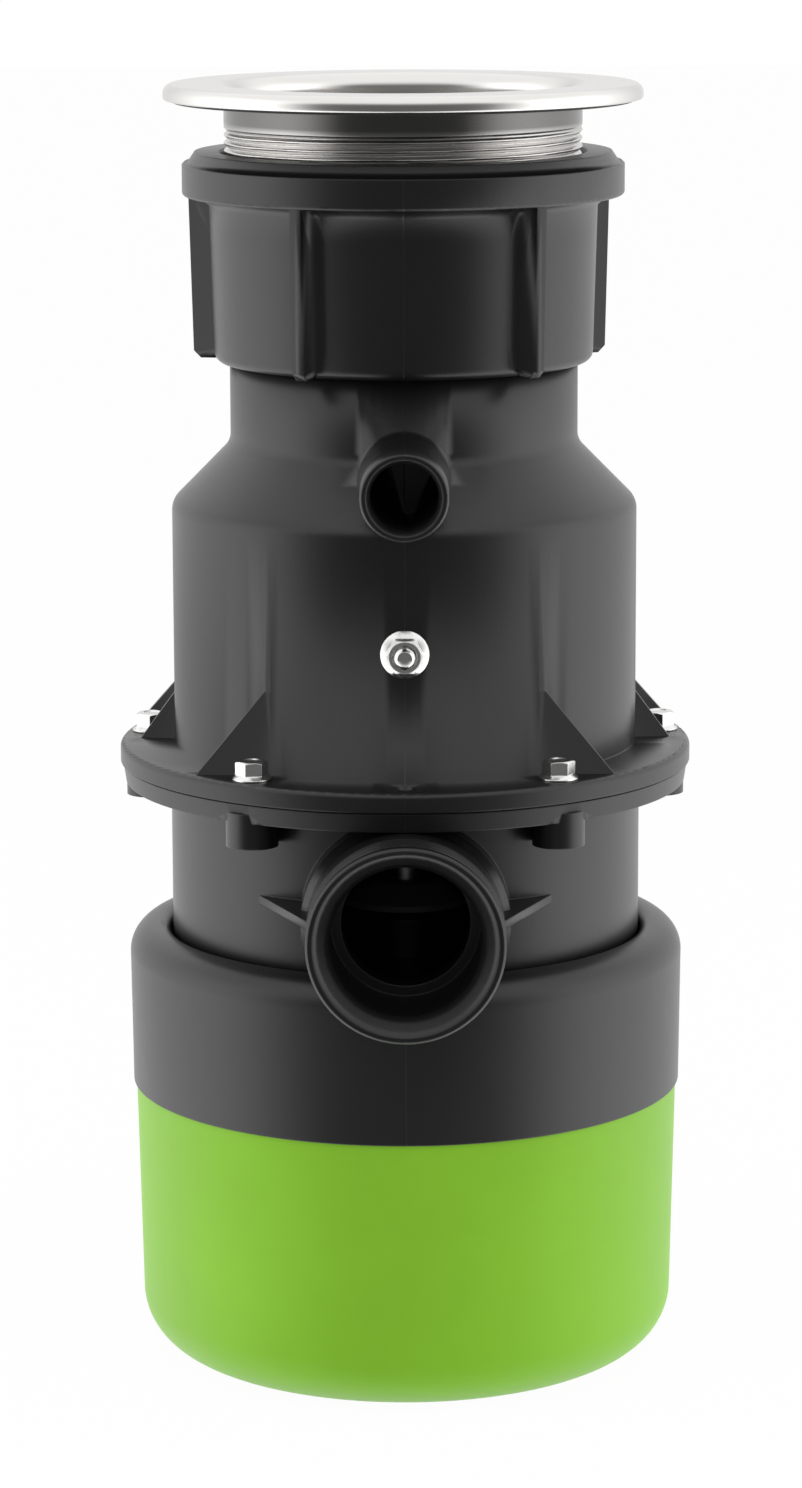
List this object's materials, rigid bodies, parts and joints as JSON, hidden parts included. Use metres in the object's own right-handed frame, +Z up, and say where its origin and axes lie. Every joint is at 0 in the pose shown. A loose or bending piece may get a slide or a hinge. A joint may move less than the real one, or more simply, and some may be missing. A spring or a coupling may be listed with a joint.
{
  "type": "food waste disposer",
  "caption": "Food waste disposer that hangs under a kitchen sink, with ribbed mounting nut, threaded drain pipe, dishwasher inlet, grinding chamber and motor in a green base.",
  "frame": {"origin": "centre of the flat base, on the axis", "axes": "+Z up the axis to the sink flange, -Y out of the drain pipe and the dishwasher inlet, +X to the right seen from the front"},
  "size_m": [0.1436, 0.1587, 0.3215],
  "materials": {
    "black_plastic": "satin moulded",
    "charcoal_plastic": "satin moulded",
    "green_plastic": "satin moulded",
    "stainless": "satin",
    "zinc_steel": "bright plated",
    "spring_steel": "plain",
    "rubber": "matt",
    "brass": "plain",
    "copper": "plain",
    "motor_steel": "ground",
    "ferrite": "dull",
    "carbon": "dull",
    "cast_aluminium": "as cast",
    "grey_nylon": "matt",
    "board_laminate": "satin",
    "red_plastic": "gloss"
  },
  "bodies": {
    "housing": {"grind_housing": "black_plastic", "drain_housing": "black_plastic", "motor_cover": "charcoal_plastic", "bottom_cup": "green_plastic", "shredder_ring": "stainless", "flange_bolts": "zinc_steel", "stud_nuts": "zinc_steel", "ring_studs": "zinc_steel", "cover_screws": "zinc_steel", "base_screws": "zinc_steel", "mount_screws": "zinc_steel", "tie_bolts": "zinc_steel", "snap_ring": "spring_steel", "brush_springs": "spring_steel", "button_spring": "spring_steel", "splash_guard": "rubber", "housing_gasket": "rubber", "shaft_seal": "rubber", "bolt_inserts": "brass", "brush_boxes": "brass", "motor_can": "motor_steel", "upper_bearing_outer": "motor_steel", "lower_bearing_outer": "motor_steel", "magnets": "ferrite", "carbon_brushes": "carbon", "motor_plate": "cast_aluminium", "motor_bell": "cast_aluminium", "cable_gland": "grey_nylon", "gland_nut": "grey_nylon", "board_bracket": "grey_nylon", "overload_protector": "grey_nylon", "brush_card": "grey_nylon", "bridge_rectifier": "grey_nylon", "rectifier_board": "board_laminate"},
    "nut": {"mounting_nut": "black_plastic"},
    "flange": {"sink_flange": "stainless", "sink_seal": "rubber"},
    "rotor": {"motor_shaft": "motor_steel", "armature_core": "motor_steel", "armature_windings": "copper", "commutator": "copper", "grind_disc": "stainless", "impeller_rivets": "zinc_steel", "disc_washer": "zinc_steel", "disc_nut": "zinc_steel", "water_slinger": "grey_nylon", "upper_bearing_inner": "motor_steel", "lower_bearing_inner": "motor_steel"},
    "hammer_left": {"impeller_left": "stainless"},
    "hammer_right": {"impeller_right": "stainless"},
    "upper_balls": {"upper_bearing_balls": "motor_steel"},
    "lower_balls": {"lower_bearing_balls": "motor_steel"},
    "button": {"reset_button": "red_plastic"}
  },
  "joints": [
    {"name": "nut_turn", "type": "hinge", "parent": "housing", "child": "nut", "pos_m": [0, 0, 0.27], "axis": [0, 0, 1], "range_deg": [-3600, 1980]},
    {"name": "flange_lift", "type": "slide", "parent": "housing", "child": "flange", "axis": [0, 0, 1], "range_m": [-0.0111, 0.0201]},
    {"name": "rotor_spin", "type": "hinge", "parent": "housing", "child": "rotor", "pos_m": [0, 0, 0.1], "axis": [0, 0, 1], "continuous": true},
    {"name": "hammer_left_swing", "type": "hinge", "parent": "rotor", "child": "hammer_left", "pos_m": [-0.033, 0, 0.175], "axis": [0, 0, 1], "continuous": true},
    {"name": "hammer_right_swing", "type": "hinge", "parent": "rotor", "child": "hammer_right", "pos_m": [0.033, 0, 0.175], "axis": [0, 0, 1], "continuous": true},
    {"name": "upper_balls_roll", "type": "hinge", "parent": "housing", "child": "upper_balls", "pos_m": [0, 0, 0.089], "axis": [0, 0, 1], "continuous": true},
    {"name": "lower_balls_roll", "type": "hinge", "parent": "housing", "child": "lower_balls", "pos_m": [0, 0, 0.0255], "axis": [0, 0, 1], "continuous": true},
    {"name": "button_press", "type": "slide", "parent": "housing", "child": "button", "axis": [0, 0, 1], "range_m": [0, 0.002], "stiffness_N_per_m": 300, "springref_m": -0.003, "deforming": ["button_spring"]}
  ],
  "couplings": [
    {"joint": "flange_lift", "follows": "nut_turn", "m_per_rad": -0.00031831},
    {"joint": "upper_balls_roll", "follows": "rotor_spin", "ratio": 0.385},
    {"joint": "lower_balls_roll", "follows": "rotor_spin", "ratio": 0.3733}
  ]
}
